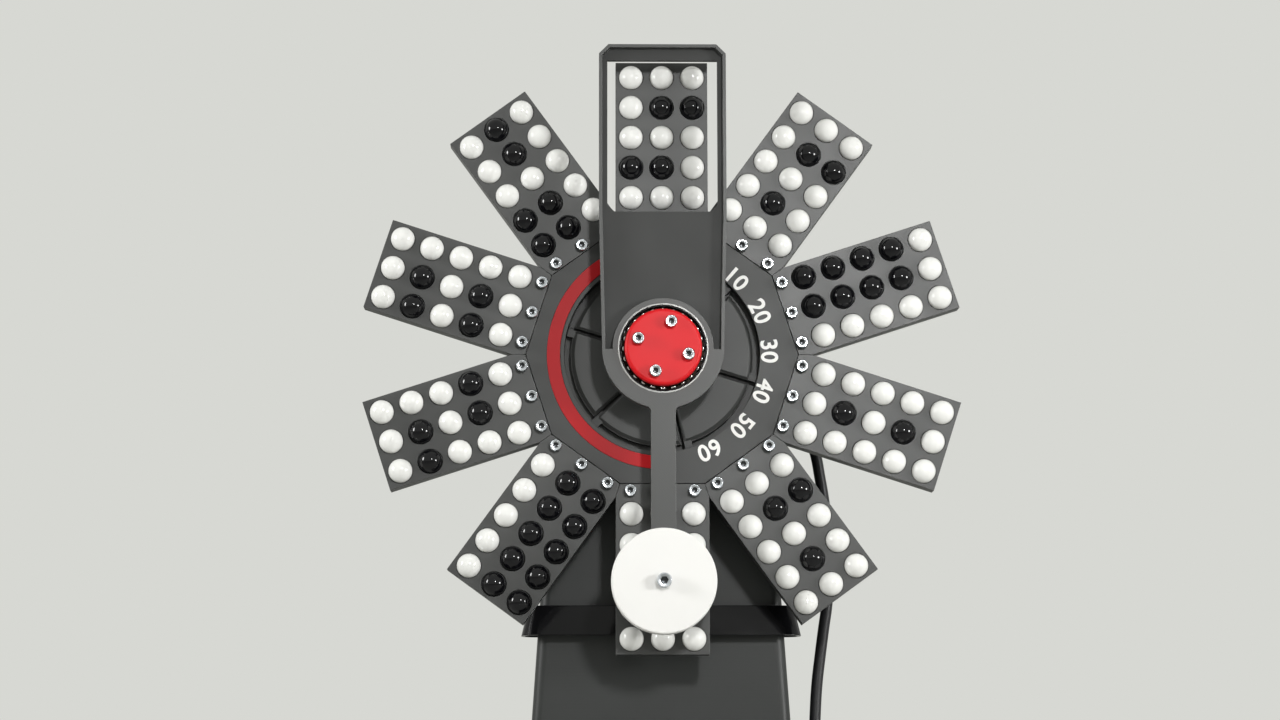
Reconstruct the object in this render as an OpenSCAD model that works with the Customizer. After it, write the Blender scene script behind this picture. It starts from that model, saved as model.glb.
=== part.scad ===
// Digit wheel clock: ten panels of marbles round a driven hub, with a window
// that hangs upright on the hub and shows the panel at the top.
// Millimetres. X is right, Y is away from the viewer, Z is up; the origin is
// on the table, under the middle of the clock.

/* [Digit wheel] */
// Height of the axle above the table
axis_z = 280; // [278:1:290]
// Distance from the axle to the outer end of a panel
panel_end_r = 174; // [173:0.5:176]
// Width of a panel
panel_w = 54; // [53:0.5:55]
// Thickness of a panel
panel_t = 12; // [11.5:0.5:13]
// Diameter of a marble
marble_d = 14; // [12:0.5:14.5]
// Distance between the centres of neighbouring marbles
marble_pitch = 18; // [17:0.25:18.25]
// Play between a marble and the rim of its pocket
marble_play = 0.25; // [0.1:0.05:0.4]

/* [Hub] */
// Inner radius of the hub ring, where the disc sits
hub_bore_r = 57; // [56:0.5:58]
// Radial width of the red arc in the hub ring
arc_w = 7.8; // [5:0.1:9]
// Where the red arc begins, anticlockwise from the right
arc_from = 120; // [90:5:150]
// Where the red arc ends
arc_to = 265; // [240:5:290]

/* [Window] */
// Width of the opening in the window frame
window_w = 64; // [62:1:66]
// Height of the opening's upper edge above the axle
window_top = 170.4; // [169:0.2:171]
// Width of the frame's raised lip
lip_w = 1.85; // [1.2:0.05:2.4]
// Distance from the axle down to the counterweight
weight_drop = 134.3; // [125:0.1:140]
// Diameter of the counterweight disc
weight_d = 60; // [56:1:64]
// Half the width of the arm that carries the counterweight
arm_half_w = 7.1; // [6:0.1:9]

/* [Drive] */
// Tooth size: pitch diameter over number of teeth
tooth_module = 1.5; // [1.5:0.05:1.6]
// Teeth on the wheel's gear
gear_teeth = 54; // [51:3:54]
// Teeth on the motor's pinion
pinion_teeth = 18; // [17:1:18]

/* [Stand] */
// Half the width of the tower at table height
tower_half_w = 80.5; // [79:0.5:82]
// How much the tower narrows on each side for each millimetre of height
tower_taper = 0.067; // [0.06:0.001:0.07]
// Wall of the tower
tower_wall = 4; // [3.5:0.5:4.5]
// Corner radius of the tower
tower_corner_r = 6; // [5:0.5:8]
// Height of the joint between the lower and the upper tower
tower_split_z = 131; // [128:1:134]
// Half the width of the base plate
base_half_w = 86; // [84:0.5:86]

/* [Power lead] */
// Diameter of the power lead
cord_d = 6.8; // [6.4:0.1:7]
// Radius of the coil's outermost turn
coil_r = 47.5; // [47.5:0.5:50]
// Turns in each of the coil's two layers
coil_turns = 2.5; // [1.5:1:2.5]

/* [Hidden] */
$fn = 48;
eps = 0.01;

// Colours
printed_grey = "#4d4e50";
lip_black = "#131315";
zinc = "#c9ccd0";
steel = "#8e9297";
bearing_steel = "#d6d8da";
signal_red = "#cf2027";

// Depths are measured towards the viewer from the panels' face
face_y = -60;
tower_front_y = -21;
tower_back_y = 94;
tower_front_h = face_y - tower_front_y;
wall_back_h = tower_front_h - tower_wall;

// Digit wheel
panel_count = 10;
panel_step = 360 / panel_count;
panel_half_w = panel_w / 2;
panel_root = 75.7;
mitre = panel_step / 2;
mitre_gap = 0.07;
columns = 3;
rows = 5;
top_row_r = panel_end_r - marble_pitch / 2;
pocket_r = marble_d / 2 + marble_play;
panel_screw_r = 79.5;
panel_screw_x = 18.5;
m4_r = 1.95;
m4_clear_r = 2.15;
m3_r = 1.45;
m3_clear_r = 1.65;

// Each digit in five rows of three marbles, 1 for a white one
GLYPHS = [
  ["111", "101", "101", "101", "111"],
  ["001", "001", "001", "001", "001"],
  ["111", "001", "111", "100", "111"],
  ["111", "001", "111", "001", "111"],
  ["101", "101", "111", "001", "001"],
  ["111", "100", "111", "001", "111"],
  ["111", "100", "111", "101", "111"],
  ["111", "001", "001", "001", "001"],
  ["111", "101", "111", "101", "111"],
  ["111", "101", "111", "001", "111"]
];
digit_on_top = 5;
function panel_turn(digit) = panel_step * ((digit + digit_on_top) % panel_count);

// Hub
ring_apothem = 75.3;
ring_r = ring_apothem / cos(mitre);
flange_r = 84;
flange_t = 6;
hub_back_h = -panel_t - flange_t;
ledge_r = 50;
disc_back_h = hub_back_h + 4;
disc_r = hub_bore_r - 0.1;
disc_face_h = -4.5;
pad_face_h = -3;
pad_bevel = 2;
slit_bevel = 1.2;
pad_in_r = 28;
pad_edge = 1;
rim_in_r = disc_r - 3.7;
pad_r = rim_in_r - 0.4;
rim_floor_h = -9;
hub_recess_r = 26;
hub_recess_h = -6;
spoke_w = 4.5;
slit_w = 1.6;
slit_floor_h = rim_floor_h - 0.6;
slit_turn = 43;
slits = 6;
arc_out_r = 67.1;
arc_depth = 1.6;
arc_proud = 0.3;
ring_screw_r = 53;
ring_screw_turn = 13;
magnet_r = 70;
magnet_turn = 225;

// Bearing between the hub and the window frame
frame_back_h = 17;
frame_t = 8;
frame_front_h = frame_back_h + frame_t;
bearing_back_h = 18;
bearing_in_r = 20;
bearing_out_r = 26;
ball_pcd_r = 23;
ball_r = 1.75;
ball_count = 24;
ball_h = bearing_back_h + 3.5;
post_r = 21.6;
cap_t = 5.5;
cap_screw_r = 15;
cap_screw_turn = 72.5;
post_screw_r = 14;
shaft_r = 6;
pin_h = 3;

// Window frame
frame_half_w = window_w / 2 + 4.9;
frame_axle_half_w = 35;
frame_side_y = 80;
frame_top_y = window_top + 8.6;
frame_corner = 5.5;
plate_t = 3.5;
sill_y = 80.7;
gusset = 4;
boss_r = 29;
eye_r = 12;
arm_fillet_r = 3;
weight_t = 10;
slug_r = 25;
slug_t = 7;
bolt_r = 2.5;

// Rear drive
gear_back_h = -28;
gear_t = 8;
gear_boss_r = tooth_module * (gear_teeth / 2 - 1.25) - 1.6;
gear_screw_r = 32;
gear_screw_turn = slit_turn + 15;
motor_drop = tooth_module * (gear_teeth + pinion_teeth) / 2;
pinion_t = 8;
pressure = 20;
backlash = 0.12;
shaft_back_h = -82;
carrier_flange_r = 30;
carrier_front_h = -33;
carrier_back_h = -72;
carrier_r = 19;
carrier_screw_r = 24;
seat_r = 14;
seat_depth = 8;
race_gap_r = 8;
motor_half = 21.15;
motor_len = 40;
motor_bolt = 15.5;
pilot_r = 11;
motor_shaft_r = 2.5;
running_gap = 0.05;

// Stand
tower_floor_z = 12;
tower_top_z = axis_z + 52;
base_floor_z = 4;
base_front_y = -85;
base_back_y = 100;
spigot_h = 10;
collar_top_z = 136.5;
collar_back_y = -7;
collar_foot_z = 119;
cover_foot_z = 152;
cover_head_z = tower_top_z - 8;
cover_inset = 5;
hatch_inset = 15;
hatch_foot_z = 162;
hatch_head_z = tower_top_z - 18;
cover_screw_inset = 10;
cover_screw_zs = [157, (cover_foot_z + cover_head_z) / 2, cover_head_z - 5];
foot_xs = 72;
foot_ys = [-70, 86];
base_screw_x = 50;
base_screw_ys = [-11, 84];
board_xs = 40;
board_ys = [15, 65];
function tower_half(z) = tower_half_w - tower_taper * z;

// Power lead: where it leaves the strain relief, and its way down to the coil
exit_point = [86, 15, axis_z - 36];
exit_tilt = 135;
relief_len = 32.5;
lead_z = cord_d / 2 + 0.05;
layer_z = cord_d + 0.5;
turn_pitch = cord_d + 0.6;
drop_x = 92;
drop_y = 15;
bend_r = 30;
coil_start_y = 50;
coil_centre = [drop_x + coil_r, coil_start_y + cord_d, lead_z];
LEAD_ROUTE = [
  exit_point,
  [87.2, drop_y, axis_z - 37.2],
  [89.9, drop_y, axis_z - 40.3],
  [92.1, drop_y, axis_z - 43.8],
  [93.8, drop_y, axis_z - 47.6],
  [94.9, drop_y, axis_z - 51.7],
  [96.8, drop_y, axis_z - 63],
  [98.6, drop_y, axis_z - 74],
  [100.3, drop_y, axis_z - 88],
  [101.4, drop_y, axis_z - 105],
  [101.5, drop_y, axis_z - 122],
  [100.3, drop_y, axis_z - 140],
  [98.1, drop_y, axis_z - 155],
  [95.9, drop_y, axis_z - 171],
  [94, drop_y, axis_z - 186],
  [92.8, drop_y, axis_z - 202],
  [92.2, drop_y, axis_z - 218],
  [drop_x, drop_y, lead_z + bend_r + 10],
  [drop_x, drop_y, lead_z + bend_r],
  [drop_x, drop_y + 2.3, lead_z + 18.5],
  [drop_x, drop_y + 8.8, lead_z + 8.8],
  [drop_x, drop_y + 18.5, lead_z + 2.3],
  [drop_x, drop_y + bend_r, lead_z],
  [drop_x, coil_start_y, lead_z]
];
lead_sides = 10;
coil_sides = 6;
coil_steps = 24;
coil_all_turns = 2 * coil_turns + 0.5;
tail_len = 34;

// ---------- helpers ----------

// Stands the drawing plane upright: x right, y up, z towards the viewer
module facing(h = 0)
  translate([0, face_y, axis_z]) rotate([90, 0, 0]) translate([0, 0, h]) children();

// Copies at equal angles on a circle
module around(count, r, turn = 0)
  for (i = [0:count - 1])
    rotate([0, 0, turn + i * 360 / count]) translate([r, 0, 0]) children();

// A screw: its head above z = 0, its shank below, with a hexagon socket
module socket_screw(shank_r, shank_l, head_r, head_t, socket)
  difference() {
    union() {
      cylinder(r = head_r, h = head_t);
      translate([0, 0, -shank_l]) cylinder(r = shank_r, h = shank_l + head_t / 2);
    }
    translate([0, 0, head_t * 0.4])
      cylinder(d = socket / cos(30), h = head_t, $fn = 6);
  }

// A tube from z = 0
module tube(r_out, r_in, t)
  difference() {
    cylinder(r = r_out, h = t);
    translate([0, 0, -1]) cylinder(r = r_in, h = t + 2);
  }

// A hole with clear ends
module drill(r, from, to)
  translate([0, 0, from]) cylinder(r = r, h = to - from);

// ---------- digit wheel ----------

function mitre_x(y) = (y * sin(mitre) - mitre_gap) / cos(mitre);
function mitre_y(x) = (x * cos(mitre) + mitre_gap) / sin(mitre);

// Places things on the panel of one digit, with the digit upright
module on_panel(digit) rotate([0, 0, -panel_turn(digit)]) children();

// Where the marble of one row and column sits
module at_marble(row, column)
  translate([(column - 1) * marble_pitch, top_row_r - row * marble_pitch, 0]) children();

module panel_screw_places()
  for (side = [-1:1]) translate([side * panel_screw_x, panel_screw_r, 0]) children();

module digit_panel(digit)
  color(printed_grey) facing() on_panel(digit)
    difference() {
      translate([0, 0, -panel_t]) linear_extrude(panel_t)
        polygon([
          [-mitre_x(panel_root), panel_root], [mitre_x(panel_root), panel_root],
          [panel_half_w, mitre_y(panel_half_w)], [panel_half_w, panel_end_r],
          [-panel_half_w, panel_end_r], [-panel_half_w, mitre_y(panel_half_w)]
        ]);
      for (row = [0:rows - 1], column = [0:columns - 1])
        at_marble(row, column) translate([0, 0, marble_play]) sphere(r = pocket_r);
      panel_screw_places() drill(m4_clear_r, -panel_t - 1, 1);
    }

module marbles(which, paint)
  color(paint) facing()
    for (digit = [0:panel_count - 1]) on_panel(digit)
      for (row = [0:rows - 1], column = [0:columns - 1])
        if (GLYPHS[digit][row][column] == which)
          at_marble(row, column) sphere(d = marble_d);

module white_marbles() marbles("1", "#f7f7f5");
module black_marbles() marbles("0", "#18181c");

module panel_screws()
  color(zinc) facing()
    for (digit = [0:panel_count - 1]) on_panel(digit)
      panel_screw_places() socket_screw(m4_r, 16, 3.5, 4, 3);

// ---------- hub ----------

// A flat arc between two radii and two angles
module arc_outline(r_in, r_out, from, to)
  intersection() {
    difference() {
      circle(r = r_out);
      circle(r = r_in);
    }
    polygon(concat([[0, 0]], [for (i = [0:4])
      let (a = from + (to - from) * i / 4) 2 * r_out * [cos(a), sin(a)]]));
  }

module hub_ring()
  color(printed_grey) facing()
    difference() {
      union() {
        translate([0, 0, -panel_t - 1]) cylinder(r = ring_r, h = panel_t + 1, $fn = panel_count);
        translate([0, 0, hub_back_h]) cylinder(r = flange_r, h = flange_t);
      }
      drill(ledge_r, hub_back_h - 1, 1);
      drill(hub_bore_r, disc_back_h, 1);
      translate([0, 0, -arc_depth]) linear_extrude(arc_depth + 1)
        arc_outline(arc_out_r - arc_w, arc_out_r, arc_from, arc_to);
      for (digit = [0:panel_count - 1]) on_panel(digit)
        panel_screw_places() drill(m4_r + eps, -16.5, 1);
      around(slits, ring_screw_r, ring_screw_turn) drill(m3_clear_r, hub_back_h - 1, 0);
      around(1, magnet_r, magnet_turn) drill(3.05, hub_back_h - 1, hub_back_h + 3);
    }

module red_arc()
  color(signal_red) facing(-arc_depth) linear_extrude(arc_depth + arc_proud)
    arc_outline(arc_out_r - arc_w + 0.1, arc_out_r - 0.1, arc_from + 0.1, arc_to - 0.1);

// A half space that leans back beside a slit, with its foot at y = off
module leaning_cut(off)
  translate([-100, off, disc_face_h])
    rotate([-atan(slit_bevel / (pad_face_h - disc_face_h)), 0, 0])
      translate([0, 0, -50]) cube([200, 100, 100]);

// One raised pad of the disc, between the slit at 0 degrees and the next
module disc_pad()
  intersection() {
    rotate_extrude() polygon([
      [pad_in_r, disc_face_h - 1], [pad_r, disc_face_h - 1], [pad_r, disc_face_h],
      [pad_r - pad_bevel, pad_face_h], [pad_in_r + pad_bevel, pad_face_h],
      [pad_in_r, disc_face_h]
    ]);
    leaning_cut(pad_edge);
    rotate([0, 0, 360 / slits]) mirror([0, 1, 0]) leaning_cut(pad_edge);
  }

module hub_disc()
  color(printed_grey) facing()
    difference() {
      union() {
        translate([0, 0, disc_back_h]) cylinder(r = rim_in_r, h = disc_face_h - disc_back_h);
        translate([0, 0, disc_back_h]) cylinder(r = disc_r, h = rim_floor_h - disc_back_h);
        for (i = [0:slits - 1]) rotate([0, 0, slit_turn + i * 360 / slits]) {
          disc_pad();
          intersection() {
            translate([0, 0, rim_floor_h - 1]) cylinder(r = disc_r - 0.3, h = 6);
            translate([rim_in_r - 2, 0, rim_floor_h - 1])
              cube([10, slit_w / 2 + spoke_w, 6]);
          }
        }
      }
      drill(hub_recess_r, hub_recess_h, 1);
      drill(shaft_r + 0.2, disc_back_h - 1, 0);
      for (i = [0:slits - 1]) rotate([0, 0, slit_turn + i * 360 / slits])
        translate([hub_recess_r - 1, -slit_w / 2, slit_floor_h])
          cube([disc_r - hub_recess_r + 2, slit_w, 10]);
      around(slits, ring_screw_r, ring_screw_turn) drill(m3_r + eps, disc_back_h - 1, -9.9);
      around(4, post_screw_r, 45) {
        drill(m4_clear_r, disc_back_h - 1, 0);
        drill(3.7, disc_back_h - 1, disc_back_h + 4.2);
      }
      around(4, gear_screw_r, gear_screw_turn) drill(m4_r + eps, disc_back_h - 1, -7.9);
    }

module ring_screws()
  color(zinc) facing(hub_back_h)
    around(slits, ring_screw_r, ring_screw_turn)
      rotate([180, 0, 0]) socket_screw(m3_r, 8, 2.75, 2.2, 2);

module home_magnet()
  color(bearing_steel) facing(hub_back_h) around(1, magnet_r, magnet_turn) cylinder(r = 3, h = 3);

// ---------- bearing between the hub and the window frame ----------

module bearing_post()
  color(steel) facing()
    difference() {
      union() {
        translate([0, 0, hub_recess_h]) cylinder(r = hub_recess_r - 0.1, h = 4);
        translate([0, 0, hub_recess_h]) cylinder(r = post_r, h = bearing_back_h - hub_recess_h);
        translate([0, 0, hub_recess_h])
          cylinder(r = bearing_in_r - eps, h = frame_front_h - 0.4 - hub_recess_h);
      }
      drill(shaft_r + eps, hub_recess_h - 1, 10);
      around(4, cap_screw_r, cap_screw_turn) drill(m4_r + eps, 12, 30);
      around(4, post_screw_r, 45) drill(m4_r + eps, hub_recess_h - 1, 6.1);
      translate([-30, 0, pin_h]) rotate([0, 90, 0]) cylinder(r = 1.5, h = 60);
    }

module post_screws()
  color(zinc) facing(disc_back_h + 4.2)
    around(4, post_screw_r, 45) rotate([180, 0, 0]) socket_screw(m4_r, 15, 3.5, 4, 3);

module clamp_cap()
  color(signal_red) facing(frame_front_h)
    difference() {
      rotate_extrude() {
        square([post_r + 0.6 - 2, cap_t]);
        square([post_r + 0.6, cap_t - 2]);
        translate([post_r + 0.6 - 2, cap_t - 2]) circle(r = 2);
      }
      around(4, cap_screw_r, cap_screw_turn) drill(m4_clear_r, -1, cap_t + 1);
    }

module cap_screws()
  color(zinc) facing(frame_front_h + cap_t)
    around(4, cap_screw_r, cap_screw_turn) socket_screw(m4_r, 16, 3.5, 4, 3);

// One race of the ball bearing, with its groove
module race(r_in, r_out)
  difference() {
    tube(r_out, r_in, frame_front_h - bearing_back_h);
    translate([0, 0, ball_h - bearing_back_h])
      rotate_extrude() translate([ball_pcd_r, 0]) circle(r = ball_r + running_gap);
  }

module frame_bearing_inner()
  color(bearing_steel) facing(bearing_back_h) race(bearing_in_r, ball_pcd_r - 1.2);

module frame_bearing_outer()
  color(bearing_steel) facing(bearing_back_h) race(ball_pcd_r + 1.3, bearing_out_r);

module frame_bearing_balls()
  color(bearing_steel) facing(ball_h) around(ball_count, ball_pcd_r) sphere(r = ball_r);

module frame_bearing_cage()
  color("#b08d57") facing(bearing_back_h)
    difference() {
      translate([0, 0, 1]) tube(ball_pcd_r + 0.9, ball_pcd_r - 0.9, 2.7);
      translate([0, 0, ball_h - bearing_back_h])
        around(ball_count, ball_pcd_r) sphere(r = ball_r + 0.1);
    }

// ---------- window frame and counterweight ----------

// The frame's outline above the axle, drawn in by some amount on every side
function frame_outline(inset, foot) =
  let (corner = (sqrt(2) - 1) * inset,
       right = [
         [frame_axle_half_w - inset, foot],
         [frame_half_w - inset, frame_side_y],
         [frame_half_w - inset, frame_top_y - frame_corner - corner],
         [frame_half_w - frame_corner - corner, frame_top_y - inset]
       ])
  concat(right, [for (i = [3:-1:0]) [-right[i][0], right[i][1]]]);

module arm_fillet()
  difference() {
    polygon([
      [arm_half_w - 1, -(frame_axle_half_w - 3)], [arm_half_w - 1, -36.6],
      [arm_half_w + arm_fillet_r, -36.6], [arm_half_w + arm_fillet_r - 1, -33]
    ]);
    translate([arm_half_w + arm_fillet_r, -36.6]) circle(r = arm_fillet_r);
  }

module window_frame()
  color(printed_grey) facing(frame_back_h)
    difference() {
      linear_extrude(frame_t) {
        difference() {
          polygon(frame_outline(0, 0));
          polygon([
            [-window_w / 2 + gusset, sill_y], [window_w / 2 - gusset, sill_y],
            [window_w / 2, sill_y + gusset], [window_w / 2, window_top],
            [-window_w / 2, window_top], [-window_w / 2, sill_y + gusset]
          ]);
        }
        circle(r = frame_axle_half_w);
        translate([-arm_half_w, -weight_drop]) square([2 * arm_half_w, weight_drop - 30]);
        translate([0, -weight_drop]) circle(r = eye_r);
        arm_fillet();
        mirror([1, 0]) arm_fillet();
      }
      translate([0, 0, plate_t]) linear_extrude(frame_t) difference() {
        polygon(frame_outline(lip_w, -0.6));
        circle(r = boss_r);
      }
      drill(bearing_out_r, bearing_back_h - frame_back_h, frame_t + 1);
      drill(bearing_out_r - 1.5, -1, frame_t);
      translate([0, -weight_drop, 0]) {
        drill(bolt_r + 0.1, -1, frame_t + 1);
        translate([0, 0, -1]) cylinder(d = 8.1 / cos(30), h = 5, $fn = 6);
      }
    }

module at_weight(h) facing(h) translate([0, -weight_drop, 0]) children();

module counterweight_disc()
  color("#f4f4f2") at_weight(frame_front_h)
    difference() {
      rotate_extrude() {
        square([weight_d / 2 - 1, weight_t]);
        square([weight_d / 2, weight_t - 1]);
        translate([weight_d / 2 - 1, weight_t - 1]) circle(r = 1);
      }
      drill(slug_r, -1, slug_t);
      drill(bolt_r + 0.1, 0, weight_t + 1);
    }

module counterweight_slug()
  color(steel) at_weight(frame_front_h) tube(slug_r - 0.05, bolt_r + 0.1, slug_t);

module disc_bolt()
  color(zinc) at_weight(frame_front_h + weight_t) socket_screw(bolt_r, 17.5, 4.25, 5, 4);

module disc_nut()
  color(zinc) at_weight(frame_back_h)
    difference() {
      cylinder(d = 8 / cos(30), h = 4, $fn = 6);
      drill(bolt_r + eps, -1, 5);
    }

// ---------- rear drive ----------

// Involute gear outline. The flank's half angle narrows with radius.
function involute(a) = tan(a) * 180 / PI - a;
function flank_angle(teeth, r) =
  let (pitch_r = tooth_module * teeth / 2, base_r = pitch_r * cos(pressure))
  90 / teeth - backlash / 2 / pitch_r * 180 / PI
  + involute(pressure) - involute(acos(min(1, base_r / r)));
function flank_radii(teeth) =
  let (pitch_r = tooth_module * teeth / 2, tip_r = pitch_r + tooth_module,
       root_r = pitch_r - 1.25 * tooth_module,
       start_r = max(root_r, pitch_r * cos(pressure)))
  concat([root_r], [for (i = [start_r > root_r ? 0 : 1:4]) start_r + (tip_r - start_r) * i / 4]);
function gear_outline(teeth, first) =
  let (radii = flank_radii(teeth), last = len(radii) - 1)
  [for (i = [0:teeth - 1]) let (c = first + i * 360 / teeth) each concat(
    [for (j = [0:last]) let (a = c - flank_angle(teeth, radii[j])) radii[j] * [cos(a), sin(a)]],
    [for (j = [last:-1:0]) let (a = c + flank_angle(teeth, radii[j])) radii[j] * [cos(a), sin(a)]]
  )];

module driven_gear()
  color("#303234") facing(gear_back_h)
    difference() {
      union() {
        linear_extrude(gear_t) polygon(gear_outline(gear_teeth, -90));
        cylinder(r = gear_boss_r, h = disc_back_h - gear_back_h);
      }
      drill(shaft_r + 0.1, -1, 30);
      around(4, gear_screw_r, gear_screw_turn) drill(m4_clear_r, -1, 30);
    }

module gear_screws()
  color(zinc) facing(gear_back_h)
    around(4, gear_screw_r, gear_screw_turn)
      rotate([180, 0, 0]) socket_screw(m4_r, 20, 3.5, 2.4, 2.5);

module at_motor(h) facing(h) translate([0, -motor_drop, 0]) children();

module drive_pinion()
  color(bearing_steel) at_motor(gear_back_h - 1)
    difference() {
      union() {
        linear_extrude(pinion_t) polygon(gear_outline(pinion_teeth, 90 + 180 / pinion_teeth));
        translate([0, 0, -7]) cylinder(r = 9, h = 8);
      }
      drill(motor_shaft_r + eps, -8, pinion_t + 1);
      translate([0, 0, -3.5]) rotate([0, 90, 0]) cylinder(r = 1.5, h = 10);
    }

module motor_shaft()
  color(bearing_steel) at_motor(wall_back_h - motor_len + 3) {
    cylinder(r = motor_shaft_r, h = motor_len + pinion_t + 11);
    translate([0, 0, 8]) cylinder(r = 13, h = 20);
  }

module stepper_motor()
  color("#2a2b2d") at_motor(wall_back_h)
    difference() {
      union() {
        for (part = [[-9, 9, 4], [-30, 21, 6], [-motor_len, 10, 4]])
          translate([0, 0, part[0]]) linear_extrude(part[1]) motor_outline(part[2]);
        cylinder(r = pilot_r, h = 2);
        translate([-8, -motor_half - 4, -motor_len]) cube([16, 6, 9]);
      }
      drill(motor_shaft_r + running_gap, -motor_len + 2, 3);
      drill(13.3, -motor_len + 10, -8);
      for (x = [-1, 1], y = [-1, 1])
        translate([x * motor_bolt, y * motor_bolt, 0]) drill(m3_r + eps, -5, 1);
    }

// Square with cut corners
module motor_outline(cut)
  polygon([for (q = [0:3], e = [0, 1])
    let (p = e == 0 ? [motor_half, motor_half - cut] : [motor_half - cut, motor_half])
    [p[0] * cos(90 * q) - p[1] * sin(90 * q), p[0] * sin(90 * q) + p[1] * cos(90 * q)]]);

module motor_screws()
  color(zinc) at_motor(tower_front_h)
    for (x = [-1, 1], y = [-1, 1])
      translate([x * motor_bolt, y * motor_bolt, 0]) socket_screw(m3_r, 8, 2.75, 2, 2);

module main_shaft()
  color(bearing_steel) facing()
    difference() {
      drill(shaft_r, shaft_back_h, 9.5);
      translate([-30, 0, pin_h]) rotate([0, 90, 0]) cylinder(r = 1.5, h = 60);
    }

module shaft_pin()
  color(bearing_steel) facing(pin_h) translate([-20, 0, 0]) rotate([0, 90, 0]) cylinder(r = 1.5, h = 40);

module shaft_spacer()
  color(steel) facing(carrier_front_h)
    tube(race_gap_r - 0.2, shaft_r + eps, gear_back_h - carrier_front_h);

module shaft_collar()
  color(steel) facing(carrier_back_h)
    difference() {
      union() {
        translate([0, 0, -0.5]) cylinder(r = race_gap_r - 0.2, h = 0.5);
        translate([0, 0, -8]) cylinder(r = 11, h = 7.5);
      }
      drill(shaft_r + eps, -9, 1);
      translate([0, 0, -4.2]) rotate([0, 90, 0]) cylinder(r = 1.5, h = 12);
    }

module at_bearings()
  for (h = [carrier_front_h - seat_depth, carrier_back_h]) facing(h) children();

module shaft_bearings_inner()
  color(bearing_steel) at_bearings() tube(race_gap_r, shaft_r + eps, seat_depth);

module shaft_bearings_outer()
  color(steel) at_bearings()
    difference() {
      tube(seat_r - eps, race_gap_r + running_gap, seat_depth);
      for (z = [-1, seat_depth - 0.4]) translate([0, 0, z]) tube(12, 9, 1.4);
    }

module bearing_carrier()
  color(printed_grey) facing()
    difference() {
      union() {
        drill(carrier_flange_r, tower_front_h, carrier_front_h);
        drill(carrier_r, carrier_back_h, carrier_front_h);
      }
      drill(12, carrier_back_h - 1, carrier_front_h + 1);
      drill(seat_r, carrier_front_h - seat_depth, carrier_front_h + 1);
      drill(seat_r, carrier_back_h - 1, carrier_back_h + seat_depth);
      around(4, carrier_screw_r, 45) drill(m4_clear_r, tower_front_h - 1, carrier_front_h + 1);
    }

module carrier_screws()
  color(zinc) facing(carrier_front_h)
    around(4, carrier_screw_r, 45) socket_screw(m4_r, 10, 3.5, 2.3, 2.5);

module hall_sensor()
  color("#2f5d3a") facing(tower_front_h)
    translate([magnet_r * cos(magnet_turn), magnet_r * sin(magnet_turn), 0]) {
      translate([-7, -6, 0]) cube([14, 12, 3]);
      translate([-3.5, -3, 0]) cube([7, 6, 17]);
      translate([-5, -4.5, 16.5]) cube([10, 9, 1.6]);
      translate([-2, -1.5, 18]) cube([4, 3, 0.9]);
    }

// ---------- stand ----------

// Front view of the tower between two heights, drawn in at the sides
module tower_slab(z_foot, z_head, side, y_from, y_to)
  translate([0, y_to, 0]) rotate([90, 0, 0]) linear_extrude(y_to - y_from)
    polygon([
      [-tower_half(z_foot) + side, z_foot], [tower_half(z_foot) - side, z_foot],
      [tower_half(z_head) - side, z_head], [-tower_half(z_head) + side, z_head]
    ]);

// The tapered tower with round corners, drawn in on all four sides
module tower_block(z_foot, z_head, inset = 0, r = tower_corner_r)
  let (lean = atan(tower_taper), side = r / cos(lean),
       front = tower_front_y + inset, back = tower_back_y - inset) {
    tower_slab(z_foot, z_head, inset, front + r, back - r);
    tower_slab(z_foot, z_head, inset + side, front, back);
    intersection() {
      translate([-200, -200, z_foot]) cube([400, 400, z_head - z_foot]);
      for (x = [-1, 1], y = [front + r, back - r])
        translate([x * (tower_half_w - inset - side), y, 0])
          rotate([0, -x * lean, 0]) translate([0, 0, -20]) cylinder(r = r, h = tower_top_z + 60);
    }
  }

// The tower's inside, with plain corners
module tower_hollow(z_foot, z_head, inset)
  tower_slab(z_foot, z_head, inset, tower_front_y + inset, tower_back_y - inset);

module tower_lower()
  color(printed_grey)
    difference() {
      union() {
        difference() {
          tower_block(tower_floor_z, tower_split_z);
          tower_hollow(tower_floor_z - 5, tower_split_z + 5, tower_wall);
        }
        for (x = [-1, 1], y = base_screw_ys)
          translate([x * base_screw_x, y, tower_floor_z]) cylinder(r = 6.5, h = 20);
      }
      for (x = [-1, 1], y = base_screw_ys)
        translate([x * base_screw_x, y, tower_floor_z - 1]) cylinder(r = m4_r + eps, h = 17.1);
    }

// Along the strain relief's axis, from the tip back towards the tower
module at_relief(s)
  translate(exit_point) rotate([0, exit_tilt, 0]) translate([0, 0, s - relief_len]) children();

module tower_upper()
  color(printed_grey)
    difference() {
      union() {
        tower_block(tower_split_z, tower_top_z);
        at_relief(-12) cylinder(r = 10.5, h = 23);
        tower_hollow(tower_split_z - spigot_h, tower_split_z + spigot_h + 2, tower_wall + 0.2);
      }
      tower_hollow(tower_split_z + spigot_h + 2, tower_top_z - tower_wall, tower_wall);
      tower_hollow(tower_split_z - spigot_h - 1, tower_split_z + spigot_h + 3, tower_wall + 3);
      tower_slab(hatch_foot_z, hatch_head_z, hatch_inset, 60, tower_back_y + 1);
      facing() drill(carrier_r + 0.2, -60, -20);
      facing() around(4, carrier_screw_r, 45) drill(m4_r + eps, -60, -20);
      at_motor(0) drill(pilot_r + 0.1, -60, -20);
      at_motor(0) for (x = [-1, 1], y = [-1, 1])
        translate([x * motor_bolt, y * motor_bolt, 0]) drill(m3_clear_r, -60, -20);
      at_relief(-20) cylinder(r = 5.1, h = 40);
      cover_screw_places() translate([0, 0, -12]) cylinder(r = m3_r + eps, h = 13);
    }

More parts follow.
